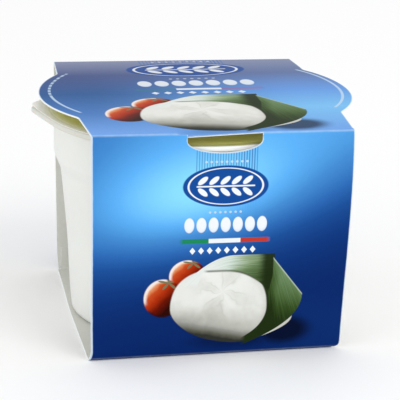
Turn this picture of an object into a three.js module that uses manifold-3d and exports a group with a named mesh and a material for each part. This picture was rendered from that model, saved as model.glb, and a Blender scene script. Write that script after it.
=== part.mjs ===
// A round dairy pot with a sealed film lid, held in a one-piece card sleeve.
// The sleeve is a closed band of board: top, front, base and back. Its sides are open, and
// its top runs out over the pot's flange as two round ears. A thumb notch under each top fold
// shows the flange, which lies close behind the front and back panels.
// Millimetres, +Z up, +Y to the back; the origin is the centre of the sleeve's base.
import * as THREE from 'three';
import { mergeVertices } from 'three/addons/utils/BufferGeometryUtils.js';
import Module from 'manifold-3d';

const wasm = await Module();
wasm.setup();

// Card sleeve, outside sizes.
const HEIGHT = 68.3;
const TOP_DEPTH = 93.4;
const BASE_DEPTH = 84.6;
const TOP_WIDTH = 76.6;
const WAIST_WIDTH = 78.4; // the top panel just before its ears
const BASE_WIDTH = 74.4;
const BOARD = 0.45;
const TOP_FOLD_RADIUS = 1.0;
const BASE_FOLD_RADIUS = 1.6;
const EAR_RADIUS = 47.7;
const EAR_CENTRE_Y = 1.6;
const EAR_FILLET = 4.0;
const CORNER_ROUND = 2.5; // lower right corners of the front and back panels

// Thumb notch: straight sides down from the fold, then a half ellipse.
const NOTCH_CENTRE_X = 0.6;
const NOTCH_WIDTH = 22.0;
const NOTCH_DEPTH = 6.2;
const NOTCH_ARC_DEPTH = 3.8;

// Pot and film lid.
const CLEARANCE = 0.3; // between pieces that lie on each other
const POT_X = -1.3; // the pot stands a little towards the side that its tab points to
const FLANGE_RADIUS = 45.5;
const FLANGE_UNDERSIDE = 61.9;
const FLANGE_TOP = 63.8;
const TAB_REACH = 49.0; // from the axis to the sharp corner that the tab's nose rounds off
const TAB_NOSE_RADIUS = 3.0;
const TAB_ANGLE = 173; // degrees round from +X
const FILM_THICKNESS = 0.3;
const NECK_RADIUS = 41.9;
const SHOULDER_TOP = 50.5;
const SHOULDER_BOTTOM = 45.7;
const SHOULDER_EASE = 1.4; // how far a corner's rounding runs along each side of it
const WALL_TOP_RADIUS = 39.8; // just below the shoulder
const WALL_MIDDLE_RADIUS = 37.6;
const WALL_MIDDLE_HEIGHT = 25;
const WALL_MIDDLE_EASE = 8.0;
const WALL_LOW_RADIUS = 36.8;
const WALL_LOW_HEIGHT = 9.3;
const WALL_LOW_EASE = 3.0;
const FOOT_RADIUS = 36.0;
const FOOT_EASE = 1.6;
const FOOT_RING_WIDTH = 3.9;
const FOOT_RECESS = 0.8;

const ARC_STEP = 5; // degrees between points of an arc
const EASE_STEPS = 4; // points along an eased corner
const EDGE_FLAT = 0.02; // between the upper and lower quarter rounds of the flange's edge
const LATHE_SEGMENTS = 72;

const radians = THREE.MathUtils.degToRad;
const degrees = THREE.MathUtils.radToDeg;

// Points of a circular arc, angles in degrees; it runs backwards where the last is smaller.
function arc(cx, cy, radius, first, last) {
  const steps = Math.max(2, Math.ceil(Math.abs(last - first) / ARC_STEP));
  return Array.from({ length: steps + 1 }, (_, i) => {
    const angle = radians(first + ((last - first) * i) / steps);
    return new THREE.Vector2(cx + radius * Math.cos(angle), cy + radius * Math.sin(angle));
  });
}

// A convex outline, listed anticlockwise, moved in by `inset`, with each corner rounded.
function roundedOutline(corners, inset) {
  const count = corners.length;
  return corners.flatMap(({ point, radius }, i) => {
    const before = corners[(i + count - 1) % count].point;
    const after = corners[(i + 1) % count].point;
    const incoming = point.clone().sub(before).normalize();
    const outgoing = after.clone().sub(point).normalize();
    const inward = outgoing.clone().sub(incoming).normalize();
    const sine = Math.abs(inward.cross(outgoing)); // of half the corner's angle
    const centre = point.clone().addScaledVector(inward, radius / sine);
    const first = degrees(Math.atan2(-incoming.x, incoming.y));
    const turn = degrees(Math.atan2(incoming.cross(outgoing), incoming.dot(outgoing)));
    return arc(centre.x, centre.y, radius - inset, first, first + turn);
  });
}

function prism(points, depth, holes = []) {
  const shape = new THREE.Shape(points);
  shape.holes = holes.map((hole) => new THREE.Path(hole));
  return new THREE.ExtrudeGeometry(shape, { depth, bevelEnabled: false });
}

// An outline drawn in X and Z, pushed from y = `from` to y = `to`.
function prismAlongY(points, from, to) {
  return prism(points, to - from).rotateX(Math.PI / 2).translate(0, to, 0);
}

function toSolid(geometry) {
  const bare = geometry.clone();
  bare.deleteAttribute('normal');
  bare.deleteAttribute('uv');
  const merged = mergeVertices(bare, 1e-4);
  return new wasm.Manifold(
    new wasm.Mesh({
      numProp: 3,
      vertProperties: new Float32Array(merged.attributes.position.array),
      triVerts: new Uint32Array(merged.index.array),
    }),
  );
}

function toGeometry(solid) {
  const { vertProperties, triVerts } = solid.getMesh();
  const geometry = new THREE.BufferGeometry();
  geometry.setAttribute('position', new THREE.BufferAttribute(vertProperties, 3));
  geometry.setIndex(new THREE.BufferAttribute(triVerts, 1));
  geometry.computeVertexNormals();
  return geometry;
}

function namedMesh(name, geometry, material) {
  const mesh = new THREE.Mesh(geometry, new THREE.MeshStandardMaterial(material));
  mesh.name = name;
  return mesh;
}

// ---------------------------------------------------------------------------- card sleeve

const SPARE = 3; // how far a cutting solid runs past the board

// The band seen from the side, Y to the right: four panels joined by round folds.
function boardBand() {
  const corners = [
    [-BASE_DEPTH / 2, 0, BASE_FOLD_RADIUS],
    [BASE_DEPTH / 2, 0, BASE_FOLD_RADIUS],
    [TOP_DEPTH / 2, HEIGHT, TOP_FOLD_RADIUS],
    [-TOP_DEPTH / 2, HEIGHT, TOP_FOLD_RADIUS],
  ].map(([y, z, radius]) => ({ point: new THREE.Vector2(y, z), radius }));
  const length = 2 * (EAR_RADIUS + SPARE);
  const turnToX = new THREE.Matrix4().makeBasis(
    new THREE.Vector3(0, 1, 0),
    new THREE.Vector3(0, 0, 1),
    new THREE.Vector3(1, 0, 0),
  );
  return prism(roundedOutline(corners, 0), length, [roundedOutline(corners, BOARD)])
    .applyMatrix4(turnToX)
    .translate(-length / 2, 0, 0);
}

// The top panel from above: its sides widen to a waist, then a fillet leads into each ear.
function topPanelOutline() {
  const waist = WAIST_WIDTH / 2;
  const filletX = waist + EAR_FILLET;
  const filletY = Math.sqrt((EAR_RADIUS + EAR_FILLET) ** 2 - filletX ** 2);
  const earAngle = degrees(Math.atan2(filletY, filletX));
  const edge = TOP_DEPTH / 2 + SPARE;
  const side = [
    new THREE.Vector2(TOP_WIDTH / 2, -edge),
    new THREE.Vector2(TOP_WIDTH / 2, -TOP_DEPTH / 2),
    ...arc(filletX, EAR_CENTRE_Y - filletY, EAR_FILLET, 180, 180 - earAngle),
    ...arc(0, EAR_CENTRE_Y, EAR_RADIUS, -earAngle, earAngle).slice(1, -1),
    ...arc(filletX, EAR_CENTRE_Y + filletY, EAR_FILLET, 180 + earAngle, 180),
    new THREE.Vector2(TOP_WIDTH / 2, TOP_DEPTH / 2),
    new THREE.Vector2(TOP_WIDTH / 2, edge),
  ];
  return [...side, ...side.map(({ x, y }) => new THREE.Vector2(-x, y)).reverse()];
}

// The front and back panels narrow towards the base.
function bodyOutline(top) {
  return [
    new THREE.Vector2(-BASE_WIDTH / 2, -SPARE),
    new THREE.Vector2(BASE_WIDTH / 2, -SPARE),
    new THREE.Vector2(BASE_WIDTH / 2, 0),
    new THREE.Vector2(TOP_WIDTH / 2, top),
    new THREE.Vector2(-TOP_WIDTH / 2, top),
    new THREE.Vector2(-BASE_WIDTH / 2, 0),
  ];
}

function notchOutline() {
  const half = NOTCH_WIDTH / 2;
  const arcTop = HEIGHT - NOTCH_DEPTH + NOTCH_ARC_DEPTH;
  const lowEdge = arc(0, 0, 1, 180, 360).map(
    ({ x, y }) => new THREE.Vector2(NOTCH_CENTRE_X + half * x, arcTop + NOTCH_ARC_DEPTH * y),
  );
  const underside = HEIGHT - BOARD;
  return [
    ...lowEdge,
    new THREE.Vector2(NOTCH_CENTRE_X + half, underside),
    new THREE.Vector2(NOTCH_CENTRE_X - half, underside),
  ];
}

// What rounds a panel's lower right corner off: a square less its quarter circle.
function cornerOutline() {
  const right = BASE_WIDTH / 2;
  return [
    ...arc(right - CORNER_ROUND, CORNER_ROUND, CORNER_ROUND, 0, -90),
    new THREE.Vector2(right - CORNER_ROUND, -SPARE),
    new THREE.Vector2(right + SPARE, -SPARE),
    new THREE.Vector2(right + SPARE, CORNER_ROUND),
  ];
}

function cardSleeve() {
  const reach = TOP_DEPTH / 2 + SPARE;
  const foldZone = HEIGHT - TOP_FOLD_RADIUS - BOARD; // the top panel's outline cuts above this
  const topCutter = prism(topPanelOutline(), HEIGHT + SPARE - foldZone).translate(0, 0, foldZone);
  const bodyCutter = prismAlongY(bodyOutline(foldZone), -reach, reach);
  let solid = toSolid(boardBand()).intersect(toSolid(topCutter).add(toSolid(bodyCutter)));
  const inside = BASE_DEPTH / 2 - BASE_FOLD_RADIUS;
  for (const [from, to] of [
    [-reach, -inside],
    [inside, reach],
  ]) {
    solid = solid.subtract(toSolid(prismAlongY(notchOutline(), from, to)));
    solid = solid.subtract(toSolid(prismAlongY(cornerOutline(), from, to)));
  }
  return toGeometry(solid);
}

// ---------------------------------------------------------------------------- pot and lid

// A circle with one blunt corner: two tangents that meet in a rounded nose, the pull tab.
function tabbedCircle(inset) {
  const radius = FLANGE_RADIUS - inset;
  const nose = TAB_NOSE_RADIUS - inset;
  const spread = degrees(Math.acos(FLANGE_RADIUS / TAB_REACH));
  const noseDistance = TAB_REACH - TAB_NOSE_RADIUS / Math.cos(radians(spread));
  const noseX = noseDistance * Math.cos(radians(TAB_ANGLE));
  const noseY = noseDistance * Math.sin(radians(TAB_ANGLE));
  return [
    ...arc(0, 0, radius, TAB_ANGLE + spread, TAB_ANGLE + 360 - spread),
    ...arc(noseX, noseY, nose, TAB_ANGLE - spread, TAB_ANGLE + spread),
  ];
}

// A flat flange with a round edge.
function flange() {
  const edgeRadius = (FLANGE_TOP - FLANGE_UNDERSIDE) / 2;
  return new THREE.ExtrudeGeometry(new THREE.Shape(tabbedCircle(edgeRadius)), {
    depth: EDGE_FLAT,
    bevelThickness: edgeRadius - EDGE_FLAT / 2,
    bevelSize: edgeRadius,
    bevelSegments: 3,
  }).translate(0, 0, (FLANGE_TOP + FLANGE_UNDERSIDE - EDGE_FLAT) / 2);
}

// A profile given as [radius, height, ease]. A corner with an ease becomes a quadratic curve
// that leaves one side, and joins the other, that far from the corner.
function easedProfile(corners) {
  return corners.flatMap(([radius, z, ease], i) => {
    const corner = new THREE.Vector2(radius, z);
    if (ease === 0) return [corner];
    const [start, end] = [corners[i - 1], corners[i + 1]].map(([r, h]) =>
      new THREE.Vector2(r, h).sub(corner).setLength(ease).add(corner),
    );
    return new THREE.QuadraticBezierCurve(start, corner, end).getPoints(EASE_STEPS);
  });
}

function tub() {
  const base = BOARD + CLEARANCE;
  const ringInside = FOOT_RADIUS - FOOT_RING_WIDTH;
  const flangeMiddle = (FLANGE_TOP + FLANGE_UNDERSIDE) / 2;
  const profile = easedProfile([
    [0, base + FOOT_RECESS, 0],
    [ringInside, base + FOOT_RECESS, 0],
    [ringInside + FOOT_RECESS, base, 0],
    [FOOT_RADIUS, base, FOOT_EASE],
    [WALL_LOW_RADIUS, WALL_LOW_HEIGHT, WALL_LOW_EASE],
    [WALL_MIDDLE_RADIUS, WALL_MIDDLE_HEIGHT, WALL_MIDDLE_EASE],
    [WALL_TOP_RADIUS, SHOULDER_BOTTOM, SHOULDER_EASE],
    [NECK_RADIUS, SHOULDER_TOP, SHOULDER_EASE],
    [NECK_RADIUS, flangeMiddle, 0],
    [0, flangeMiddle, 0],
  ]);
  const body = new THREE.LatheGeometry(profile, LATHE_SEGMENTS).rotateX(Math.PI / 2);
  return toGeometry(toSolid(body).add(toSolid(flange())));
}

function lidFilm() {
  return prism(tabbedCircle(0), FILM_THICKNESS).translate(0, 0, FLANGE_TOP + CLEARANCE);
}

const pot = new THREE.Group();
pot.position.x = POT_X;
pot.add(
  namedMesh('tub', tub(), { color: 0xe8e9e5, roughness: 0.42, metalness: 0 }),
  namedMesh('lid_film', lidFilm(), { color: 0xc9c9a8, roughness: 0.35, metalness: 0 }),
);

const group = new THREE.Group();
group.add(pot, namedMesh('sleeve', cardSleeve(), { color: 0x2a6cc0, roughness: 0.38, metalness: 0 }));

export default group;
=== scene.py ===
import math

import bpy
import numpy as np
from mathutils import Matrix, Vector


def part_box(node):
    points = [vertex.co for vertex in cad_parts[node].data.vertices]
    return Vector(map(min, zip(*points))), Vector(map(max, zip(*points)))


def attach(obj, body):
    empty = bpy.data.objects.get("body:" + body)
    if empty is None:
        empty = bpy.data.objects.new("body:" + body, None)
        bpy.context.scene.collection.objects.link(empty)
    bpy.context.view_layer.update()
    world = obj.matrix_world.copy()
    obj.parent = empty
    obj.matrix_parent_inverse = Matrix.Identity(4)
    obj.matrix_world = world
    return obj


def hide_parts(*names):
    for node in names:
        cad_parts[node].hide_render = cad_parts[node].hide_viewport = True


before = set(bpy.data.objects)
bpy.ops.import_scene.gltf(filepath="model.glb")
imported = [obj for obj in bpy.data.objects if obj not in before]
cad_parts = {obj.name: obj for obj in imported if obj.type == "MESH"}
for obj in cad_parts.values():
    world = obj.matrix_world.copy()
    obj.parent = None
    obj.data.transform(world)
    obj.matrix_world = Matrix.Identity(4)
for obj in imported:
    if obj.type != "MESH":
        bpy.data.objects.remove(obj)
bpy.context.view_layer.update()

# ---------------------------------------------------------------------------------------
# The card sleeve. One die-cut strip of coated board, creased and folded round the pot: up
# the back, over the top, down the front and under, then a flap glued inside the back panel.
# Its top panel has two round ears, and a thumb notch is cut under each top fold.
# ---------------------------------------------------------------------------------------

MM = 0.001
SLEEVE_LOW, SLEEVE_HIGH = (np.array(corner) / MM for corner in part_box("sleeve"))
HEIGHT = SLEEVE_HIGH[2] - SLEEVE_LOW[2]
TOP_HALF_DEPTH = SLEEVE_HIGH[1]
EAR_RADIUS = SLEEVE_HIGH[0]
BASE_HALF_DEPTH = 42.3
BOARD = 0.45
TOP_HALF_WIDTH = 38.3
BASE_HALF_WIDTH = 37.2
WAIST_HALF_WIDTH = 39.2
EAR_FILLET, EAR_CENTRE_Y = 4.0, 1.6
FLAP_HEIGHT = 7.4
TOP_FOLD, FRONT_BASE_FOLD, FLAP_FOLD = 1.0, 1.6, 1.2
NOTCH_CENTRE, NOTCH_HALF_WIDTH = 0.6, 11.0
NOTCH_SIDE, NOTCH_ARC = 2.2, 3.7
TWIST = 4.0  # how much further forward the front panel's lower left corner stands
FRONT_OVERHANG, FRONT_BULGE = 0.3, 4.2  # how far the front panel's right edge stands out
CORNER_RADIUS, CORNER_PAST_FOLD = 2.4, 1.6  # the front panel's rounded lower right corner
FRONT_FLARE, FOOT_FLARE = 0.35, 0.7  # how far its left edge spreads, high up and at the base
BASE_TUCK, FLAP_TUCK, BACK_TUCK = 1.05, 0.3, 0.35  # how far the lower back corners draw in
TOP_DISH, FRONT_BELLY, BACK_HOLLOW = 0.3, 0.22, 0.15


def folded_path(corners, radii):
    """The board's outer face seen from the side: straight panels joined by round folds.

    Gives a function of the distance travelled, which returns Y, Z and the face's outward
    normal, and the distances where each straight run and each fold begins and ends. A fold
    takes radius * tan(turn / 2) off both runs that it joins.
    """
    corners = np.array(corners, float)
    legs = np.diff(corners, axis=0)
    lengths = np.hypot(*legs.T)
    headings = np.arctan2(legs[:, 1], legs[:, 0])
    turns = (np.diff(headings) + math.pi) % (2 * math.pi) - math.pi
    trims = np.concatenate([[0.0], np.array(radii) * np.tan(np.abs(turns) / 2), [0.0]])
    parts = []
    travelled = 0.0
    for i, heading in enumerate(headings):
        along = np.array([math.cos(heading), math.sin(heading)])
        start = corners[i] + along * trims[i]
        length = lengths[i] - trims[i] - trims[i + 1]
        parts.append((travelled, travelled + length, start, heading, 0.0))
        travelled += length
        if i < len(turns):
            fold = radii[i] * abs(turns[i])
            parts.append((travelled, travelled + fold, start + along * length, heading, turns[i] / fold))
            travelled += fold

    def at(distance):
        y, z, heading = np.zeros_like(distance), np.zeros_like(distance), np.zeros_like(distance)
        for first, last, start, begun, bend in parts:
            here = (distance >= first - 1e-9) & (distance <= last + 1e-9)
            gone = distance[here] - first
            heading[here] = begun + bend * gone
            if bend:
                y[here] = start[0] + (np.sin(heading[here]) - math.sin(begun)) / bend
                z[here] = start[1] - (np.cos(heading[here]) - math.cos(begun)) / bend
            else:
                y[here] = start[0] + gone * math.cos(begun)
                z[here] = start[1] + gone * math.sin(begun)
        return y, z, np.sin(heading), -np.cos(heading)

    return at, [(first, last) for first, last, *_ in parts]


lean = (TOP_HALF_DEPTH - BASE_HALF_DEPTH) / HEIGHT
flap_y = BASE_HALF_DEPTH - BOARD - 0.04
board_at, runs = folded_path(
    [
        (BASE_HALF_DEPTH + lean * 0.25, 0.25),
        (TOP_HALF_DEPTH, HEIGHT),
        (-TOP_HALF_DEPTH, HEIGHT),
        (-BASE_HALF_DEPTH, 0),
        (flap_y, 0),
        (flap_y + lean * FLAP_HEIGHT, FLAP_HEIGHT),
    ],
    [TOP_FOLD, TOP_FOLD, FRONT_BASE_FOLD, FLAP_FOLD],
)
BACK, BACK_FOLD, TOP, FRONT_FOLD, FRONT, BASE_FOLD_RUN, BASE, FLAP_FOLD_RUN, FLAP = runs
FOLD_LINE = sum(FRONT_FOLD) / 2  # distance travelled at the top front crease
BACK_LINE = sum(BACK_FOLD) / 2
STEPS = (70, 6, 110, 8, 90, 8, 24, 6, 5)


def smooth_step(low, high, value):
    """0 below low, 1 above high, and a smooth S curve between."""
    t = np.clip((value - low) / (high - low), 0, 1)
    return t * t * (3 - 2 * t)


def ear_half_width(y):
    """Half the top panel's width: straight to a waist, a hollow fillet, then the ear's circle."""
    fillet_x = WAIST_HALF_WIDTH + EAR_FILLET
    fillet_y = math.sqrt((EAR_RADIUS + EAR_FILLET) ** 2 - fillet_x**2)
    joins = EAR_RADIUS * fillet_y / (EAR_RADIUS + EAR_FILLET)
    far = np.abs(y - EAR_CENTRE_Y)
    end = TOP_HALF_DEPTH - EAR_CENTRE_Y * np.sign(y)
    straight = WAIST_HALF_WIDTH + (TOP_HALF_WIDTH - WAIST_HALF_WIDTH) * (far - fillet_y) / (end - fillet_y)
    hollow = fillet_x - np.sqrt(np.maximum(EAR_FILLET**2 - (far - fillet_y) ** 2, 0))
    ear = np.sqrt(np.maximum(EAR_RADIUS**2 - far**2, 0))
    return np.where(far > fillet_y, straight, np.where(far > joins, hollow, ear))


def side_edges(distance, y, z):
    """The strip's left and right edges at each distance travelled."""
    down = 1 - z / HEIGHT
    half = np.where(
        (distance > TOP[0]) & (distance < TOP[1]),
        ear_half_width(y),
        TOP_HALF_WIDTH + (BASE_HALF_WIDTH - TOP_HALF_WIDTH) * down,
    )
    left, right = -half, half.copy()
    front = (distance >= FRONT_FOLD[0]) & (distance <= BASE[1])
    right = np.where(front, right + FRONT_OVERHANG + FRONT_BULGE * down * (1 - down) ** 2, right)
    to_fold = np.clip(BASE_FOLD_RUN[0] + CORNER_PAST_FOLD - distance, 0, CORNER_RADIUS)
    rounded = CORNER_RADIUS - np.sqrt(np.maximum(CORNER_RADIUS**2 - (CORNER_RADIUS - to_fold) ** 2, 0))
    right = np.where(front, right - rounded, right)
    left = left - front * FOOT_FLARE * smooth_step(BASE_FOLD_RUN[0] - 1.5, BASE_FOLD_RUN[0] + 2.0, distance)
    left = left - front * FRONT_FLARE * smooth_step(0.3, 0.9, down)
    flap = smooth_step(FLAP_FOLD_RUN[0], FLAP[1], distance)
    tuck = BASE_TUCK * smooth_step(BASE[1] - 45, BASE[1], distance) + FLAP_TUCK * flap
    tuck = tuck + BACK_TUCK * smooth_step(6.0, 0.0, distance)
    return left + tuck, right - tuck


def board_sag(x, distance):
    """How far the board stands off its true planes, outwards: the panels dish and belly, the
    top falls off a little towards the back fold."""
    across = x / TOP_HALF_WIDTH
    top = np.clip((distance - TOP[0]) / (TOP[1] - TOP[0]), 0, 1)
    dish = -TOP_DISH * np.sin(math.pi * top) ** 2 * (1 - 0.5 * np.clip(across, -1, 1) ** 2)
    fall = -(0.2 + 0.005 * x) * smooth_step(TOP[0] + 14, TOP[0] - 1, distance)
    fall = fall * smooth_step(BACK[1] - 25, BACK_LINE, distance)
    front = np.clip((distance - FRONT[0]) / (FRONT[1] - FRONT[0]), 0, 1)
    belly = FRONT_BELLY * np.sin(math.pi * front) * (1 - 0.6 * across**2)
    hollow = -BACK_HOLLOW * np.sin(math.pi * np.clip(distance / BACK[1], 0, 1)) * (1 - across**2)
    ripple = 0.03 * np.sin(0.21 * x + 0.13 * distance) * np.sin(math.pi * np.clip(front + top, 0, 1))
    return dish + fall + belly + hollow + ripple


def lip_drop(x, distance):
    """How far the lip over the front notch hangs down: most at its left end."""
    in_notch = smooth_step(-14, -10.6, x) * smooth_step(15, 11, x) * (distance <= FOLD_LINE + 0.01)
    return np.maximum(0.5 - 0.042 * x, 0) * in_notch * np.exp(-(((distance - FOLD_LINE) / 3.5) ** 2))


def twisted(y, z, x):
    """How far the board moves forward: more to the left, lower down and nearer the front."""
    left = np.clip(0.5 - x / (2 * BASE_HALF_WIDTH), 0, 1)
    down = np.clip(1 - z / HEIGHT, 0, 1) ** 1.6
    front = np.clip((BASE_HALF_DEPTH - y) / (2 * BASE_HALF_DEPTH), 0, 1)
    return -TWIST * left * down * front


rows = np.concatenate(
    [np.linspace(first, last, steps, endpoint=False) for (first, last), steps in zip(runs, STEPS)]
    + [[FLAP[1]]]
)


def snap(rows, value):
    """Moves the row nearest to a distance exactly onto it, and returns its number."""
    nearest = int(np.argmin(np.abs(rows - value)))
    rows[nearest] = value
    return nearest


front_lip, front_low = snap(rows, FOLD_LINE), snap(rows, FOLD_LINE + NOTCH_SIDE)
back_lip, back_low = snap(rows, BACK_LINE), snap(rows, BACK_LINE - NOTCH_SIDE)

SIDE_COLUMNS, NOTCH_COLUMNS = 30, 28
notch_angle = np.linspace(0, math.pi, NOTCH_COLUMNS + 1)
notch_x = NOTCH_CENTRE - NOTCH_HALF_WIDTH * np.cos(notch_angle)
side_share = np.linspace(0, 1, SIDE_COLUMNS, endpoint=False)
side_share = side_share - 0.1 * np.sin(2 * math.pi * side_share)
y_row, z_row, _, _ = board_at(rows)
left_edge, right_edge = side_edges(rows, y_row, z_row)
left_columns = left_edge[:, None] + (notch_x[0] - left_edge[:, None]) * side_share
right_columns = right_edge[:, None] + (notch_x[-1] - right_edge[:, None]) * side_share
x_grid = np.concatenate(
    [left_columns, np.broadcast_to(notch_x, (len(rows), len(notch_x))), right_columns[:, ::-1]], 1
)
hang = np.concatenate([np.zeros(SIDE_COLUMNS), NOTCH_ARC * np.sin(notch_angle), np.zeros(SIDE_COLUMNS)])
REACH = 16.0  # the rows under a notch close up over this length
below_front = np.clip(1 - (rows - rows[front_low]) / REACH, 0, 1) * (rows >= rows[front_low])
below_back = np.clip(1 - (rows[back_low] - rows) / REACH, 0, 1) * (rows <= rows[back_low])
travel = rows[:, None] + hang * (below_front - below_back)[:, None]

y_grid, z_grid, ny, nz = board_at(travel)
sag = board_sag(x_grid, travel)
y_grid = y_grid + twisted(y_grid, z_grid, x_grid)
z_grid = z_grid - lip_drop(x_grid, travel)
outer = np.stack([x_grid, y_grid + ny * sag, z_grid + nz * sag], -1)
inner = outer - BOARD * np.stack([np.zeros_like(ny), ny, nz], -1)
n_rows, n_columns = x_grid.shape
number = np.arange(n_rows * n_columns).reshape(n_rows, n_columns)
keep = np.ones((n_rows - 1, n_columns - 1), bool)
cut = slice(SIDE_COLUMNS, SIDE_COLUMNS + NOTCH_COLUMNS)
keep[front_lip:front_low, cut] = False
keep[back_low:back_lip, cut] = False
cells = np.stack([number[:-1, :-1], number[1:, :-1], number[1:, 1:], number[:-1, 1:]], -1)[keep]


def rim_of(faces):
    """Directed edges that only one face uses, as that face runs along them."""
    edges = np.stack([faces, np.roll(faces, -1, 1)], -1).reshape(-1, 2)
    code = edges.min(1) * (faces.max() + 1) + edges.max(1)
    _, first, count = np.unique(code, return_index=True, return_counts=True)
    return edges[first[count == 1]]


def make_mesh(name, points, groups, materials, flat_angle=35):
    """One mesh object at the origin from points in mm and a list of face arrays, one for each
    material. Points that no face uses are left out, and sharp edges stay sharp."""
    used, renumbered = np.unique(np.concatenate([g.ravel() for g in groups]), return_inverse=True)
    mesh = bpy.data.meshes.new(name)
    faces, offset = [], 0
    for group in groups:
        faces += renumbered[offset : offset + group.size].reshape(group.shape).tolist()
        offset += group.size
    mesh.from_pydata((points[used] * MM).tolist(), [], faces)
    for material in materials:
        mesh.materials.append(material)
    indices = np.repeat(np.arange(len(groups)), [len(g) for g in groups]).astype(np.int32)
    mesh.polygons.foreach_set("material_index", np.minimum(indices, len(materials) - 1))
    mesh.polygons.foreach_set("use_smooth", np.ones(len(faces), bool))
    mesh.set_sharp_from_angle(angle=math.radians(flat_angle))
    mesh.update()
    piece = bpy.data.objects.new(name, mesh)
    bpy.context.scene.collection.objects.link(piece)
    return piece, used


rim = rim_of(cells)
total = n_rows * n_columns
cut_edge = np.stack([rim[:, 1], rim[:, 0], rim[:, 0] + total, rim[:, 1] + total], 1)
board_points = np.concatenate([outer.reshape(-1, 3), inner.reshape(-1, 3)])


# What the print is drawn with: fields, which are numbers that vary over the surface.


def wire(value, socket):
    """Feeds a field into a socket, or sets a plain number or colour on it."""
    if isinstance(value, Field):
        value.tree.links.new(value.socket, socket)
    else:
        socket.default_value = value


class Field:
    """A number or colour that varies over the surface; arithmetic on it adds Math nodes."""

    def __init__(self, tree, socket):
        self.tree, self.socket = tree, socket

    def math(self, operation, *others):
        node = self.tree.nodes.new("ShaderNodeMath")
        node.operation = operation
        for value, socket in zip((self, *others), node.inputs):
            wire(value, socket)
        return Field(self.tree, node.outputs[0])

    def __add__(self, other):
        return self.math("ADD", other)

    def __sub__(self, other):
        return self.math("SUBTRACT", other)

    def __neg__(self):
        return self.math("MULTIPLY", -1.0)

    def __rsub__(self, other):
        return (-self).math("ADD", other)

    def __mul__(self, other):
        return self.math("MULTIPLY", other)

    def __truediv__(self, other):
        return self.math("DIVIDE", other)

    def __pow__(self, other):
        return self.math("POWER", other)

    def __abs__(self):
        return self.math("ABSOLUTE")

    __radd__, __rmul__ = __add__, __mul__

    def least(self, other):
        return self.math("MINIMUM", other)

    def most(self, other):
        return self.math("MAXIMUM", other)

    def rises(self, low, high):
        """0 at low, 1 at high and a smooth S between; where low is above high it falls."""
        node = self.tree.nodes.new("ShaderNodeMapRange")
        node.interpolation_type = "SMOOTHSTEP"
        for value, socket in zip((self, low, high), node.inputs):
            wire(value, socket)
        return Field(self.tree, node.outputs[0])

    def under(self, other, soft=0.15):
        """1 where the field is less than the other, 0 where it is more."""
        return (self - other).rises(soft, -1.0 * soft)

    def bell(self, centre, width):
        """exp(-((field - centre) / width) ** 2)"""
        away = (self - centre) / width
        return (away * away * -1.0).math("EXPONENT")


def layer(below, mask, above):
    """Paints one colour over another where the mask is 1."""
    node = mask.tree.nodes.new("ShaderNodeMix")
    node.data_type = "RGBA"
    for value, socket in zip((mask, below, above), (node.inputs[0], node.inputs[6], node.inputs[7])):
        wire(value, socket)
    return Field(mask.tree, node.outputs[2])


def multiply(colour, by):
    """One colour times another."""
    node = colour.tree.nodes.new("ShaderNodeMix")
    node.data_type, node.blend_type = "RGBA", "MULTIPLY"
    for value, socket in zip((1.0, colour, by), (node.inputs[0], node.inputs[6], node.inputs[7])):
        wire(value, socket)
    return Field(colour.tree, node.outputs[2])


def noise(x, y, scale, detail=2.0, z=0.0):
    """Smooth noise from 0 to 1, with `scale` features for each unit of x and y."""
    tree = x.tree
    place = tree.nodes.new("ShaderNodeCombineXYZ")
    for value, socket in zip((x, y, z), place.inputs):
        wire(value, socket)
    node = tree.nodes.new("ShaderNodeTexNoise")
    node.inputs["Scale"].default_value = scale
    node.inputs["Detail"].default_value = detail
    tree.links.new(place.outputs[0], node.inputs["Vector"])
    return Field(tree, node.outputs["Fac"])


def tints(field, stops):
    """A colour ramp over the field, given as (value, colour) pairs in rising order."""
    low, high = stops[0][0], stops[-1][0]
    node = field.tree.nodes.new("ShaderNodeValToRGB")
    ramp = node.color_ramp.elements
    while len(ramp) < len(stops):
        ramp.new(0.5)
    for element, (value, colour) in zip(ramp, stops):
        element.position = (value - low) / (high - low)
        element.color = colour
    wire((field - low) / (high - low), node.inputs["Fac"])
    return Field(field.tree, node.outputs["Color"])


def start_group(name, inputs, outputs):
    """An empty shader node group. Inputs come as names with defaults, a colour as four numbers;
    outputs are names, and the one called Colour is a colour."""
    group = bpy.data.node_groups.new(name, "ShaderNodeTree")
    for socket, value in inputs.items():
        kind = "NodeSocketColor" if isinstance(value, tuple) else "NodeSocketFloat"
        group.interface.new_socket(socket, in_out="INPUT", socket_type=kind).default_value = value
    for socket in outputs:
        kind = "NodeSocketColor" if socket == "Colour" else "NodeSocketFloat"
        group.interface.new_socket(socket, in_out="OUTPUT", socket_type=kind)
    given = group.nodes.new("NodeGroupInput")
    fields = [Field(group, given.outputs[socket]) for socket in inputs]
    return group, fields, group.nodes.new("NodeGroupOutput").inputs


def use_group(tree, group, **values):
    """Places a group in a tree and returns its outputs as fields, in order."""
    node = tree.nodes.new("ShaderNodeGroup")
    node.node_tree = group
    for socket, value in values.items():
        wire(value, node.inputs[socket])
    return [Field(tree, output) for output in node.outputs]


def srgb(*levels, density=1.0):
    """A colour given as screen levels from 0 to 255, as linear light with alpha 1; an ink's
    density multiplies the light that it sends back."""
    share = np.array(levels) / 255
    linear = np.where(share <= 0.04045, share / 12.92, ((share + 0.055) / 1.055) ** 2.4)
    return (*(linear * density).tolist(), 1.0)


WHITE_INK = srgb(244, 249, 252)


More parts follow.
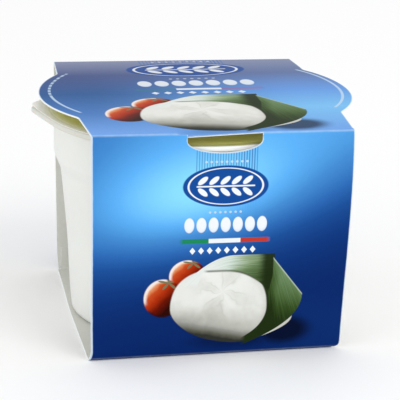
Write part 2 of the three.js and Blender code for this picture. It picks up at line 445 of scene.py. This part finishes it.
# A soft-edged ellipse: how far out a point lies, in radii, and a mask of what is inside.
ellipse_group, (x, y, half_width, half_height, soft), out = start_group(
    "soft_ellipse",
    {"X": 0.0, "Y": 0.0, "Half Width": 1.0, "Half Height": 1.0, "Soft": 0.05},
    ["Mask", "Radii"],
)
radii = ((x / half_width) ** 2.0 + (y / half_height) ** 2.0).math("SQRT")
wire(radii.under(1.0, soft), out["Mask"])
wire(radii, out["Radii"])


def ellipse(x, y, centre_x, centre_y, half_width, half_height, soft=0.05):
    values = {"X": x - centre_x, "Y": y - centre_y, "Half Width": half_width, "Half Height": half_height}
    return use_group(x.tree, ellipse_group, Soft=soft, **values)


# A soft-edged box with round corners.
box_group, (x, y, half_width, half_height, corner), out = start_group(
    "soft_box", {"X": 0.0, "Y": 0.0, "Half Width": 1.0, "Half Height": 1.0, "Corner": 0.2}, ["Mask"])
beyond_x = (abs(x) - half_width + corner).most(0.0)
beyond_y = (abs(y) - half_height + corner).most(0.0)
wire((beyond_x * beyond_x + beyond_y * beyond_y).math("SQRT").under(corner, 0.12), out["Mask"])


def box(x, y, centre_x, centre_y, half_width, half_height, corner=0.2):
    values = {"X": x - centre_x, "Y": y - centre_y, "Half Width": half_width, "Half Height": half_height}
    return use_group(x.tree, box_group, Corner=corner, **values)[0]


# A painted tomato: lit from the upper left, with a pale rim there and a small green star.
tomato_group, (x, y, half_width, half_height), out = start_group(
    "painted_tomato", {"X": 0.0, "Y": 0.0, "Half Width": 5.0, "Half Height": 5.0}, ["Colour", "Mask"])
skin_x, skin_y = x / half_width, y / half_height
mask, radii = use_group(x.tree, ellipse_group, X=skin_x, Y=skin_y, Soft=0.05)
lit = (skin_x + skin_y) * -0.95 + noise(skin_x, skin_y, 2.2) * 0.3 - 0.34
ink = tints(lit, [
    (-0.95, srgb(48, 10, 6)),
    (-0.45, srgb(108, 20, 5)),
    (0.1, srgb(180, 50, 14)),
    (0.5, srgb(204, 78, 34)),
    (0.78, srgb(232, 148, 98)),
    (0.98, srgb(248, 214, 190)),
])
ink = layer(ink, radii.rises(0.76, 0.94) * lit.rises(0.2, 0.7), srgb(250, 238, 230))
ink = layer(ink, radii.rises(0.84, 1.0) * lit.rises(0.1, -0.3) * 0.85, srgb(40, 12, 18))
star_x, star_y = skin_x - 0.3, (skin_y + 0.80) * 1.4
reach = (star_x * star_x + star_y * star_y).math("SQRT")
points = (star_y.math("ARCTAN2", star_x) * 2.5 + 0.9).math("COSINE")
ink = layer(ink, reach.under(abs(points) ** 4.0 * 0.5 + 0.07, 0.06), srgb(122, 122, 88))
wire(ink, out["Colour"])
wire(mask, out["Mask"])

# The painted serving, in mm across and down the front: a fresh cheese with a gathered top,
# half wrapped in a green leaf, with two tomatoes behind it and soft shadows under it.
serving_group, (x, y), out = start_group("painted_serving", {"X": 0.0, "Y": 0.0}, ["Colour", "Mask"])
tree = x.tree
under_leaf, _ = ellipse(x, y, 19.7, 61.2, 7.8, 4.2, 0.4)
under_cheese, _ = ellipse(x, y, 5.0, 63.8, 12.0, 2.3, 0.5)
cover = (under_leaf * 0.9).most(under_cheese * 0.45)
ink = srgb(7, 14, 34)


def add_ink(mask, colour):
    """Paints a colour over the inks so far, and widens what they cover."""
    global ink, cover
    ink = layer(ink, mask, colour)
    cover = cover.most(mask)


TOMATOES = ((-9.4, 43.2, 5.5, 4.9), (-16.6, 49.8, 5.7, 5.9))  # centre, half width and height
for centre_x, centre_y, half_width, half_height in TOMATOES:
    colour, mask = use_group(tree, tomato_group, **{
        "X": x - centre_x, "Y": y - centre_y, "Half Width": half_width, "Half Height": half_height})
    add_ink(mask, colour)

add_ink(box(x, y, 13.8, 48.0, 1.9, 8.0, 1.0), srgb(40, 56, 26))
CHEESE_X, CHEESE_Y = 0.1, 53.4
CHEESE_HALF_WIDTH, CHEESE_HALF_HEIGHT = 14.5, 10.6
KNOT_X, KNOT_Y = 1.2, 48.6
cheese_x = (x - CHEESE_X) / CHEESE_HALF_WIDTH
cheese_slant = x * 0.19 * y.rises(50.0, 60.0)
cheese_y = (y - CHEESE_Y - cheese_slant) / (y.rises(CHEESE_Y, 46.0) * 1.5 + CHEESE_HALF_HEIGHT)
bulge = (abs(cheese_x) ** 2.4 + abs(cheese_y) ** 2.4) ** (1 / 2.4)
knot_x, knot_y = x - KNOT_X, y - KNOT_Y
knot = (knot_x * knot_x + knot_y * knot_y).math("SQRT")
drift = noise(x, y, 0.16)
around_knot = knot_y.math("ARCTAN2", knot_x) + drift * 1.6
pleats = (around_knot * 4.0).math("SINE")
creases = (1.0 - abs(pleats)) ** 3.0 * knot.bell(3.5, 3.5)
relief = (drift - 0.5) * 0.16 + pleats * knot.bell(5.0, 4.5) * 0.06 - creases * 0.12
relief = relief + (noise(x, y, 0.5) - 0.5) * 0.08
below = cheese_y.rises(-0.3, 0.7) * (0.34 - cheese_x * 0.08) + cheese_y.rises(0.5, 1.05) * 0.75
tone = 0.93 + relief - below - bulge.rises(0.84, 1.04) * cheese_x.rises(0.2, 0.9) * 0.14
colour = tints(tone, [
    (0.0, srgb(52, 54, 48)),
    (0.2, srgb(98, 98, 86)),
    (0.5, srgb(154, 155, 147)),
    (0.72, srgb(204, 205, 196)),
    (0.92, srgb(235, 236, 230)),
    (1.08, srgb(248, 249, 246)),
])
add_ink(bulge.under(0.995, 0.018), colour)

crest = (4.5 - x).most(0.0) ** 1.9 * 0.051 + 37.25
hem = (x - 1.0).most(0.0) ** 2.4 * 0.012 + 42.1 + x.rises(-4.4, -7.5) * 6.0
along = (y - crest) / 5.0
grain = noise(along * 5.0 + drift, x * 0.03, 3.2, 3.0)
band = crest.under(y, 0.12) * y.under(hem, 0.15) * x.under(16.5, 0.15) * x.rises(-11.6, -10.2)
band = band * y.under(46.2 + x.rises(8.0, 12.0) * 6.5, 0.8)
tone = x.rises(-6.0, 17.0) * 0.72 + along.rises(0.3, 1.3) * x.rises(0.0, 6.0) * 0.3 + (grain - 0.5) * 0.6
colour = tints(tone, [(0.0, srgb(236, 240, 236)), (0.25, srgb(212, 226, 216)), (0.5, srgb(150, 172, 136)),
                      (0.7, srgb(104, 130, 86)), (1.0, srgb(58, 78, 38))])
colour = layer(colour, x.rises(11.0, 14.2) * 0.95, srgb(30, 44, 18))
add_ink(band, colour)
add_ink(abs(y - hem + 0.1).under(0.3, 0.3) * x.rises(-5.0, -3.0) * x.under(12.0, 2.0) * 0.8, srgb(84, 92, 72))

inner_edge = 16.15 - y.rises(43.0, 50.0) * 1.2 - ((y - 46.0) / 15.0).most(0.0) ** 4.3 * 4.3
upper_edge = (y - 37.3) * 0.775 + 15.3
lower_edge = 25.2 - (y - 50.0).most(0.0) ** 2.27 * 0.0355
blade = x.under(upper_edge.least(lower_edge), 0.15) * inner_edge.under(x, 0.2) * y.rises(37.2, 37.6)
blade = blade * x.rises(6.4, 8.6)
fan = (x - 13.0).math("ARCTAN2", y - 26.0)
grain = noise(fan * 60.0, y * 0.05, 1.3, 3.0)
from_inner = x - inner_edge
tone = (y - 40.0) / 24.5 + y.rises(49.0, 58.0) * 0.16 + (grain - 0.5) * 0.5
tone = tone + from_inner.rises(3.2, 0.0) * 0.3 - from_inner * 0.015
colour = tints(tone, [(-0.15, srgb(150, 172, 138)), (0.1, srgb(112, 142, 100)), (0.35, srgb(84, 112, 66)),
                      (0.6, srgb(56, 80, 36)), (0.85, srgb(34, 50, 20))])
pale_edge = x.rises(upper_edge - 0.7, upper_edge - 0.1) * y.under(52.0, 2.0)
colour = layer(colour, pale_edge * 0.8, srgb(196, 212, 190))
add_ink(blade, colour)
past = x - lower_edge
sliver = 1.0 - ((y - 60.0) / 3.1) ** 2.0
peeping = past.rises(-0.05, 0.15) * past.under(sliver * 1.5, 0.15) * sliver.rises(0.0, 0.1)
add_ink(peeping, srgb(206, 206, 196))
wire(ink, out["Colour"])
wire(cover, out["Mask"])

# The heading over the serving, all ornament: fine rules, an oval badge with a sprig, a row
# of pearls, a bar of three colours and a row of small diamonds.
heading_group, (x, y), out = start_group(
    "ornament_heading", {"X": 0.0, "Y": 0.0}, ["Colour", "Mask", "Accent"])
tree = x.tree
rules = (x * (2 * math.pi / 0.77)).math("SINE").rises(-0.2, 0.9)
ruled = x.rises(-8.2, -7.6) * x.rises(10.6, 10.0) * y.rises(3.0, 5.0)
ink = srgb(62, 118, 190)
cover = rules * ruled * (y.rises(15.0, 12.0) * 0.62 + y.rises(26.0, 16.0) * x.rises(2.0, 8.0) * 0.3)
mask, radii = ellipse(x, y, 1.2, 16.0, 12.6, 6.3, 0.02)
add_ink(mask, srgb(24, 78, 156))
add_ink(abs(radii - 0.87).under(0.022, 0.012), WHITE_INK)
leaf_x = ((x + 60.0) / 3.3).math("FRACT") * 3.3 - 1.65
leaf_y = abs(y - 16.0) - 1.75
leaf, _ = use_group(tree, ellipse_group, **{
    "X": leaf_x * 0.77 + leaf_y * 0.64, "Y": leaf_y * 0.77 - leaf_x * 0.64,
    "Half Width": 1.75, "Half Height": 0.78, "Soft": 0.12})
stem = box(x, y, 1.2, 16.0, 8.6, 0.22, 0.2)
add_ink((leaf * abs(x - 1.05).under(8.25, 0.05)).most(stem), WHITE_INK)


def bead_row(x, y, centre_x, centre_y, pitch, count, half_width, half_height, soft=0.1):
    """A row of like ovals: the distance across repeats with the pitch, within the row's length."""
    along = (x - centre_x) / pitch + count / 2
    in_bead = (along + 40.0).math("FRACT") - 0.5
    mask, radii = ellipse(in_bead, y, 0.0, centre_y, half_width / pitch, half_height, soft)
    return mask * along.rises(-0.02, 0.0) * along.rises(count + 0.02, float(count)), radii


for centre_y, count in ((8.6, 9), (23.9, 7)):
    row, _ = bead_row(x, y, 1.3, centre_y, 1.5, count, 0.38, 0.38)
    add_ink(row * 0.75, WHITE_INK)
pearls, radii = bead_row(x, y, 1.5, 27.75, 3.58, 7, 1.5, 2.35)
pearl_shade = radii.rises(0.35, 1.1) * (y - 27.6).rises(-1.0, 3.0) * 0.4
add_ink(pearls, layer(WHITE_INK, pearl_shade, srgb(168, 200, 236)))
bar = box(x, y, 1.4, 32.65, 13.5, 0.7, 0.3) * x.rises(-12.8, -10.8) * x.rises(15.6, 13.6)
middle = x.rises(-3.5, -3.3) * x.rises(6.1, 5.9)
colour = layer(layer(srgb(34, 140, 92), x.rises(1.0, 2.0), srgb(196, 62, 54)), middle, WHITE_INK)
add_ink(bar, colour)
along = ((x + 40.0) / 2.55).math("FRACT") * 2.55 - 1.275
diamond = (abs(along) * 1.25 + abs(y - 35.6)).under(1.1, 0.12)
add_ink(diamond * x.rises(-9.1, -8.9) * x.rises(11.0, 10.8), WHITE_INK)
wire(ink, out["Colour"])
wire(cover, out["Mask"])
wire(bar * (1.0 - middle), out["Accent"])

# The blue ground of the front: a glow high on the left that sinks into navy lower down.
ground_group, (x, y), out = start_group("front_ground", {"X": 0.0, "Y": 0.0}, ["Colour"])
fade = ((y + x * 0.314 - 23.8) / 7.73).math("EXPONENT") + 1.0
glow = x.bell(0.86, 35.2) * y.bell(28.5, 20.4)
level = (glow * 190.3 + 135.6 - ((x - 50.4) / 38.0) ** 2.0 * 10.5) / fade + 41.0
level = level + (noise(x, y, 0.6, 4.0) - 0.5) * 3.0 + x.rises(8.0, 28.0) * y.rises(45.0, 60.0) * 5.0
colour = tints(level, [
    (41, srgb(10, 40, 105)),
    (58, srgb(18, 58, 129)),
    (82, srgb(29, 80, 153)),
    (106, srgb(46, 106, 182)),
    (142, srgb(69, 141, 211)),
    (178, srgb(94, 178, 247)),
    (202, srgb(120, 203, 254)),
    (232, srgb(147, 232, 251)),
])
wire(colour, out["Colour"])

# The blue ground of the top: two runs of colour from the front crease to the back one, slate
# at the back and light at the front, mixed across from the left run to the brighter right run.
# Print and painted reflection together: the greying towards the back is a painted sheen, and
# the brighter right run holds painted light.
top_ground_group, (x, y), out = start_group("top_ground", {"X": 0.0, "Y": 0.0}, ["Colour"])
run = y + (noise(x, y, 0.6, 4.0) - 0.5) * 1.5
left_run = tints(run, [(-45, srgb(117, 168, 238)), (-22, srgb(78, 129, 197)), (2, srgb(50, 96, 156)),
                       (26, srgb(78, 93, 142)), (46, srgb(142, 150, 178))])
right_run = tints(run, [(-45, srgb(116, 170, 239)), (-18, srgb(128, 198, 249)), (4, srgb(106, 160, 232)),
                        (26, srgb(104, 123, 168)), (46, srgb(140, 149, 178))])
wire(layer(left_run, x.rises(-36.0, 36.0), right_run), out["Colour"])


def new_material(name, base, roughness, **sockets):
    """A material with one Principled BSDF; the named sockets are set as constants on it."""
    material = bpy.data.materials.new(name)
    material.use_nodes = True
    shader = material.node_tree.nodes["Principled BSDF"]
    shader.inputs["Base Color"].default_value = base
    shader.inputs["Roughness"].default_value = roughness
    for socket, value in sockets.items():
        shader.inputs[socket.replace("_", " ")].default_value = value
    return material, material.node_tree, shader


def add_bump(tree, shader, height, distance_mm, strength=1.0):
    """Feeds a height field, in parts of distance_mm, into the shader's normal."""
    node = tree.nodes.new("ShaderNodeBump")
    node.inputs["Strength"].default_value = strength
    node.inputs["Distance"].default_value = distance_mm * MM
    wire(height, node.inputs["Height"])
    tree.links.new(node.outputs["Normal"], shader.inputs["Normal"])


def object_place(tree):
    """The object's own X, Y and Z in mm, as fields."""
    split = tree.nodes.new("ShaderNodeSeparateXYZ")
    tree.links.new(tree.nodes.new("ShaderNodeTexCoord").outputs["Object"], split.inputs[0])
    return [Field(tree, output) * (1 / MM) for output in split.outputs]


printed, tree, shader = new_material("sleeve_print", srgb(20, 80, 160), 0.35, Specular_IOR_Level=0.012)
flat = tree.nodes.new("ShaderNodeAttribute")
flat.attribute_name = "blank"
split = tree.nodes.new("ShaderNodeSeparateXYZ")
tree.links.new(flat.outputs["Vector"], split.inputs[0])
x, down, to_edge = (Field(tree, output) for output in split.outputs)

(ground,) = use_group(tree, ground_group, X=x, Y=down)
heading_ink, heading, _ = use_group(tree, heading_group, X=x, Y=down)
serving_ink, serving = use_group(tree, serving_group, X=x, Y=down)
front_ink = layer(layer(ground, heading, heading_ink), serving, serving_ink)

top_y = -46.5 - down
(ground,) = use_group(tree, top_ground_group, X=x, Y=top_y)
heading_ink, heading, accent = use_group(tree, heading_group, X=x / 1.5 - 0.05, Y=37.33 - top_y / 1.5)
serving_y = (down + 46.0) / 1.6 + 37.2 + x.least(0.0) * 0.055
serving_ink, serving = use_group(tree, serving_group, X=x / 1.276 + 2.09, Y=serving_y)
top_ink = layer(layer(ground, heading * (0.85 - accent * 0.5), heading_ink), serving ** 1.6, serving_ink)
arc_x, arc_y = x - 0.45, top_y - 3.2
arc_radius = (arc_x * arc_x + arc_y * arc_y).math("SQRT")
arc_turn = arc_y.math("ARCTAN2", abs(arc_x))
line = abs(arc_radius - 44.75).under(0.42, 0.12) * arc_turn.rises(-0.56, -0.53) * arc_turn.rises(0.63, 0.60)
beads = (arc_turn * 84.0).math("SINE").rises(-0.6, 0.2) * 0.7 + 0.3
beads = beads.most(arc_turn.rises(-0.02, -0.08).most(x.rises(0.0, 1.0)))
top_ink = layer(top_ink, line * beads * 0.8, srgb(200, 224, 246))

back_down = -1.0 * (FOLD_LINE - BACK_LINE) - down
(ground,) = use_group(tree, ground_group, X=x * -1.0, Y=back_down)
card = box(x, back_down, 0.0, 36.0, 27.0, 20.0, 2.5)
rules = ((back_down + 0.9) / 3.2).math("FRACT").rises(0.62, 0.7)
rules = rules * box(x, back_down, 0.0, 36.4, 23.5, 16.4, 0.2)
back_ink = layer(layer(ground, card * 0.92, srgb(232, 240, 247)), rules * 0.6, srgb(60, 104, 170))

ink = layer(top_ink, down.rises(-0.05, 0.05), front_ink)
ink = layer(ink, down.rises(-0.05 - (FOLD_LINE - BACK_LINE), -0.15 - (FOLD_LINE - BACK_LINE)), back_ink)
ink = layer(ink, down.rises(BASE[0] - FOLD_LINE - 0.6, BASE[0] - FOLD_LINE), srgb(12, 42, 108))
scuff = noise(x, down, 0.35, 3.0)
# The pale lines along the top front fold and the base fold are a painted highlight; the pale band along the
# cut edges is wear, wider along the front panel's left edge.
base_crease = abs(down - (BASE_FOLD_RUN[0] - FOLD_LINE + 1.0)).under(0.3, 0.3)
crease = abs(down).under(0.3, 0.3).most(base_crease * 0.5)
edge_wear = 0.14 + scuff * 0.16 + x.rises(-20.0, -36.0) * down.rises(-0.5, 0.5) * 0.3
highlight_and_wear = (crease * (scuff * 0.5 + 0.08)).most(to_edge.under(edge_wear, 0.14) * 0.9)
ink = layer(ink, highlight_and_wear, srgb(214, 232, 246))
ink = multiply(ink, srgb(255, 255, 255, density=0.91))
wire(ink, shader.inputs["Base Color"])
wire(0.34 + noise(x, down, 0.08) * 0.08 + highlight_and_wear * 0.3, shader.inputs["Roughness"])
add_bump(tree, shader, noise(x, down, 0.9, 3.0) + noise(x, down, 0.05) * 6.0, 0.02)


uncoated, tree, shader = new_material("sleeve_uncoated_inside", srgb(205, 206, 198), 0.85)
x, y, z = object_place(tree)
fibres = noise(x, y, 1.2, 4.0, z)
cloud = noise(x, y, 0.12, 2.0, z)
ink = layer(srgb(208, 209, 201), fibres * 0.7 + cloud * 0.3, srgb(224, 225, 218))
wire(ink, shader.inputs["Base Color"])
wire(0.82 + fibres * 0.12, shader.inputs["Roughness"])
add_bump(tree, shader, fibres, 0.05)

edge_white, tree, shader = new_material("sleeve_cut_edge", srgb(245, 248, 250), 0.8)
x, y, z = object_place(tree)
fibres = noise(x, y, 3.0, 3.0, z)
wire(layer(srgb(228, 232, 234), fibres, srgb(250, 252, 252)), shader.inputs["Base Color"])
add_bump(tree, shader, fibres, 0.05)

sleeve, kept_points = make_mesh(
    "card_sleeve", board_points, [cells, cells[:, ::-1] + total, cut_edge], [printed, uncoated, edge_white]
)
to_cut = np.minimum(x_grid - left_edge[:, None], right_edge[:, None] - x_grid)
notches = (
    (FOLD_LINE, FOLD_LINE + NOTCH_SIDE, NOTCH_ARC),
    (BACK_LINE, BACK_LINE - NOTCH_SIDE, -NOTCH_ARC),
)
for lip_at, low_at, arc in notches:
    lip_x = np.linspace(*notch_x[[0, -1]], 30)
    outline_x = np.concatenate([[notch_x[0]] * 5, notch_x, [notch_x[-1]] * 5, lip_x])
    outline_v = np.concatenate([np.linspace(lip_at, low_at, 5), low_at + arc * np.sin(notch_angle),
                                np.linspace(low_at, lip_at, 5), np.full(30, lip_at)])
    for point_x, point_v in zip(outline_x, outline_v):
        to_cut = np.minimum(to_cut, np.hypot(x_grid - point_x, travel - point_v))
blank = np.stack([x_grid, travel - FOLD_LINE, to_cut], -1).reshape(-1, 3)
blank = np.concatenate([blank, blank])[kept_points].astype(np.float32)
sleeve.data.attributes.new("blank", "FLOAT_VECTOR", "POINT").data.foreach_set("vector", blank.ravel())
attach(sleeve, "root")
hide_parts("sleeve")

# ---------------------------------------------------------------------------------------
# The pot. One injection-moulded piece of white polypropylene: a rounded foot, a slightly
# tapered wall, a shoulder, a straight neck and a flat flange that runs out to a tab.
# ---------------------------------------------------------------------------------------

TUB_HIGH = np.array(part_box("tub")[1]) / MM
FLANGE_RADIUS = TUB_HIGH[1]
POT_X = TUB_HIGH[0] - FLANGE_RADIUS
FLANGE_TOP = TUB_HIGH[2]
FLANGE_THICKNESS = 1.9
TAB_ANGLE = math.radians(173)
TAB_REACH, TAB_NOSE = 49.0, 3.0
NECK_RADIUS = 41.9
FOOT_RADIUS = 36.0
WALL_LOW, WALL_MIDDLE, WALL_TOP = (36.8, 9.3), (37.6, 25.0), (39.8, 45.7)  # radius and height
SHOULDER_TOP = 50.5
AROUND = 256


def tabbed_radius(angle):
    """A circle with one blunt corner: two tangents that meet in a rounded nose."""
    spread = math.acos(FLANGE_RADIUS / TAB_REACH)
    off = (angle - TAB_ANGLE + math.pi) % (2 * math.pi) - math.pi
    tangent = FLANGE_RADIUS / np.maximum(np.cos(spread - np.abs(off)), 0.2)
    centre = TAB_REACH - TAB_NOSE / math.cos(spread)
    nose = centre * np.cos(off) + np.sqrt(np.maximum(TAB_NOSE**2 - (centre * np.sin(off)) ** 2, 0))
    corner = np.where(np.abs(centre * np.sin(off)) < TAB_NOSE * math.sin(spread), nose, tangent)
    return np.where(np.abs(off) < spread, corner, FLANGE_RADIUS)


angles = np.linspace(0, 2 * math.pi, AROUND, endpoint=False)
edge_radius = tabbed_radius(angles)


def eased_profile(corners, per_corner=6):
    """A profile as radius, height and how much it follows the tab. A corner with an ease
    becomes a quadratic curve that leaves and joins its sides that far from the corner."""
    points = [np.array(corners[0][:3], float)]
    for before, here, after in zip(corners, corners[1:], corners[2:]):
        a, b, c = (np.array(p[:3], float) for p in (before, here, after))
        start = b + (a - b) * min(here[3] / np.hypot(*(a - b)[:2]), 0.5)
        end = b + (c - b) * min(here[3] / np.hypot(*(c - b)[:2]), 0.5)
        for t in np.linspace(0, 1, per_corner):
            points.append((1 - t) ** 2 * start + 2 * t * (1 - t) * b + t**2 * end)
    points.append(np.array(corners[-1][:3], float))
    return np.array(points)


def turned_points(profile):
    """A profile carried round the pot's axis, pushed out towards the tab where it follows it."""
    radius, height, follow = profile.T
    r = radius[:, None] + follow[:, None] * (edge_radius - FLANGE_RADIUS)
    z = np.broadcast_to(height[:, None], r.shape)
    return np.stack([POT_X + r * np.cos(angles), r * np.sin(angles), z], -1)


def ring_faces(n_profile, n_around):
    """Quads between neighbouring rings, and a fan of triangles at each end's centre point."""
    ring = np.arange(n_profile * n_around).reshape(n_profile, n_around)
    after = np.roll(ring, -1, 1)
    quads = np.stack([ring[:-1], after[:-1], after[1:], ring[1:]], -1).reshape(-1, 4)
    low, high = n_profile * n_around, n_profile * n_around + 1
    bottom = np.stack([after[0], ring[0], np.full(n_around, low)], -1)
    top = np.stack([ring[-1], after[-1], np.full(n_around, high)], -1)
    return quads, bottom, top


FOOT = BOARD + 0.15
profile = eased_profile([
    (0.5, FOOT + 0.8, 0, 0),
    (31.3, FOOT + 0.8, 0, 0.5),
    (32.1, FOOT, 0, 0.4),
    (FOOT_RADIUS, FOOT, 0, 1.6),
    (*WALL_LOW, 0, 3.0),
    (*WALL_MIDDLE, 0, 8.0),
    (*WALL_TOP, 0, 1.4),
    (NECK_RADIUS, SHOULDER_TOP, 0, 1.4),
    (NECK_RADIUS, FLANGE_TOP - FLANGE_THICKNESS, 0, 0.7),
    (FLANGE_RADIUS, FLANGE_TOP - FLANGE_THICKNESS, 1, 0.8),
    (FLANGE_RADIUS, FLANGE_TOP, 1, 0.5),
    (NECK_RADIUS, FLANGE_TOP, 0.1, 0.5),
    (NECK_RADIUS - 1.2, FLANGE_TOP - 0.5, 0, 0.4),
    (0.5, FLANGE_TOP - 0.5, 0, 0),
])
quads, bottom_fan, top_fan = ring_faces(len(profile), AROUND)
ends = np.array([[POT_X, 0, profile[0, 1]], [POT_X, 0, profile[-1, 1]]])
plastic, tree, shader = new_material(
    "pot_polypropylene", srgb(238, 239, 236), 0.38, Subsurface_Weight=0.12, Subsurface_Scale=0.002)
x, y, z = object_place(tree)
cloud = noise(x, y, 0.05, 2.0, z)
body = layer(srgb(222, 224, 220), cloud, srgb(232, 234, 230))
# Painted light: the wall is painted lighter towards the foot, where the sleeve's base and back panel shade
# it.
body = layer(body, z.rises(44.0, 12.0) * 0.2, srgb(247, 248, 244))
# Painted light and shade: the flange is painted darker towards the left, under the left ear, lighter towards
# the right, and whiter than the wall.
flange = layer(srgb(212, 212, 203), x.rises(-34.0, -12.0), srgb(242, 244, 243))
wire(layer(body, z.rises(61.2, 61.7), flange), shader.inputs["Base Color"])
wire(0.34 + noise(x, y, 0.3, 3.0, z) * 0.14, shader.inputs["Roughness"])
add_bump(tree, shader, noise(x, y, 1.6, 3.0, z) + cloud * 8.0, 0.02)
tub, _ = make_mesh("moulded_pot", np.concatenate([turned_points(profile).reshape(-1, 3), ends]),
                   [quads, bottom_fan, top_fan], [plastic], flat_angle=60)
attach(tub, "root")
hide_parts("tub")

# ---------------------------------------------------------------------------------------
# The film lid. A thin tinted film heat-sealed to the flange: slightly puckered where the
# sealing ring pressed it, clear along its rim, with a tab to peel it by. Its colour holds painted
# shade under the top panel and painted light at the tab, and it glows faintly as painted light.
# ---------------------------------------------------------------------------------------

FILM_THICKNESS = 0.12
RINGS = 60
share = np.linspace(0, 1, RINGS) ** 0.7
film_r = 0.5 + share[:, None] * (edge_radius - 0.5 - 0.15)
film_angle = np.broadcast_to(angles, film_r.shape)
inside = np.clip(film_r / NECK_RADIUS, 0, 1)
wave = np.sin(60 * film_angle + 1.7 * np.sin(7 * film_angle))
pucker = 0.06 * wave * np.exp(-(((film_r - 41.0) / 1.6) ** 2))
dish = -0.45 * (1 - inside**2) + 0.15 * np.sin(3 * film_angle + 0.6) * inside**2 * (1 - inside)
toward_tab = np.exp(-(((film_angle - TAB_ANGLE + math.radians(5)) / math.radians(16)) ** 2))
lift = 0.7 * toward_tab * np.clip((film_r - 44.0) / 4.5, 0, 1) ** 1.3
film_z = FLANGE_TOP + 0.08 + pucker + dish + lift
film_x, film_y = POT_X + film_r * np.cos(film_angle), film_r * np.sin(film_angle)
film_top = np.stack([film_x, film_y, film_z + FILM_THICKNESS], -1)
film_under = film_top - np.array([0, 0, FILM_THICKNESS])
quads, bottom_fan, top_fan = ring_faces(2 * RINGS, AROUND)
ends = np.array([[POT_X, 0, film_under[0, 0, 2]], [POT_X, 0, film_top[0, 0, 2]]])
# Painted light: the film glows faintly in its own colours, though it is no lamp.
film_material, tree, shader = new_material(
    "lid_film", srgb(200, 198, 150), 0.3, Specular_IOR_Level=0.3, Emission_Strength=0.05)
x, y, z = object_place(tree)
x = x - POT_X
radius = (x * x + y * y).math("SQRT")
cloud = noise(x, y, 0.12, 2.0)
from_tab = x.rises(-26.0, -38.0)
tint = (radius + cloud * 1.2 - 0.6).rises(46.4 - from_tab * 0.2, 44.9 - from_tab * 5.0)
shade_away_from_tab = 1.0 - from_tab
# Painted light and shade: the clear rim is painted grey away from the tab and near white at the tab.
clear_rim_light_and_shade = layer(srgb(200, 200, 188), from_tab, srgb(252, 251, 246))
# Painted shade: the tint is painted darker towards its rim, away from the tab, where the top panel shades the
# film.
tint_with_shade = layer(srgb(233, 230, 138), radius.rises(43.2, 45.0) * shade_away_from_tab * 0.75, srgb(150, 146, 84))
ink = layer(clear_rim_light_and_shade, tint, tint_with_shade)
ring = abs(radius - 43.4).under(0.25, 0.2)
ink = layer(ink, ring * 0.15, srgb(150, 150, 110))
wire(ink, shader.inputs["Base Color"])
# Painted light: the film's colours also glow faintly.
wire(ink, shader.inputs["Emission Color"])
wire(0.28 + cloud * 0.12, shader.inputs["Roughness"])
add_bump(tree, shader, ring * -1.0 + noise(x, y, 0.6, 3.0), 0.05)
film_points = np.concatenate([film_under.reshape(-1, 3), film_top[::-1].reshape(-1, 3), ends])
film, _ = make_mesh("film_lid", film_points, [quads, bottom_fan, top_fan], [film_material], flat_angle=60)
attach(film, "root")
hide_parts("lid_film")

# ---------------------------------------------------------------------------------------
# The studio: a wide pale floor, a soft dome and three large soft lamps.
# ---------------------------------------------------------------------------------------

floor_mesh = bpy.data.meshes.new("floor")
FLOOR_HALF = 4.0
floor_corners = [(FLOOR_HALF * a, FLOOR_HALF * b, 0) for a, b in ((-1, -1), (1, -1), (1, 1), (-1, 1))]
floor_mesh.from_pydata(floor_corners, [], [(0, 1, 2, 3)])
floor = bpy.data.objects.new("floor", floor_mesh)
bpy.context.scene.collection.objects.link(floor)
floor_material, _, _ = new_material("pale_floor", srgb(252, 252, 252), 0.8, Specular_IOR_Level=0.0)
floor_mesh.materials.append(floor_material)

world = bpy.data.worlds.new("studio_dome")
bpy.context.scene.world = world
world.use_nodes = True
world.node_tree.nodes["Background"].inputs["Color"].default_value = (1, 1, 1, 1)
world.node_tree.nodes["Background"].inputs["Strength"].default_value = 0.83


def soft_lamp(name, place, size, power, target=(0, 0, 0.035)):
    """A square area lamp that faces the target."""
    data = bpy.data.lights.new(name, "AREA")
    data.shape = "SQUARE"
    data.size = size
    data.energy = power
    lamp = bpy.data.objects.new(name, data)
    bpy.context.scene.collection.objects.link(lamp)
    aim = Vector(target) - Vector(place)
    lamp.location = place
    lamp.rotation_euler = aim.to_track_quat("-Z", "Y").to_euler()
    return lamp


soft_lamp("key", (0.5, -0.9, 0.9), 0.7, 4.4)
soft_lamp("fill", (-0.9, -0.5, 0.14), 0.8, 2.6)
soft_lamp("back", (0.3, 0.9, 0.9), 0.8, 1.2)

# Camera: long lens, from the front, a little to the left and above.
CAMERA_AZIMUTH, CAMERA_ELEVATION, CAMERA_ROLL = np.radians([-10.09, 16.20, 1.275])
CAMERA_DISTANCE = 769.6
CAMERA_SLIDE = (1.84, 0.44)
back = np.array([
    math.sin(CAMERA_AZIMUTH) * math.cos(CAMERA_ELEVATION),
    -math.cos(CAMERA_AZIMUTH) * math.cos(CAMERA_ELEVATION),
    math.sin(CAMERA_ELEVATION),
])
level = np.array([math.cos(CAMERA_AZIMUTH), math.sin(CAMERA_AZIMUTH), 0.0])
upright = np.cross(back, level)
right = math.cos(CAMERA_ROLL) * level + math.sin(CAMERA_ROLL) * upright
up = np.cross(back, right)
camera_data = bpy.data.cameras.new("camera")
camera_data.lens = 225.0
camera_data.sensor_width = 36.0
camera_data.clip_end = 20.0
camera = bpy.data.objects.new("camera", camera_data)
place = (back * CAMERA_DISTANCE + right * CAMERA_SLIDE[0] + up * CAMERA_SLIDE[1]) * MM
place[2] += HEIGHT * MM / 2
pose = np.eye(4)
pose[:3, 0], pose[:3, 1], pose[:3, 2], pose[:3, 3] = right, up, back, place
camera.matrix_world = Matrix(pose.tolist())
bpy.context.scene.collection.objects.link(camera)
bpy.context.scene.camera = camera
bpy.context.scene.view_settings.view_transform = "Standard"
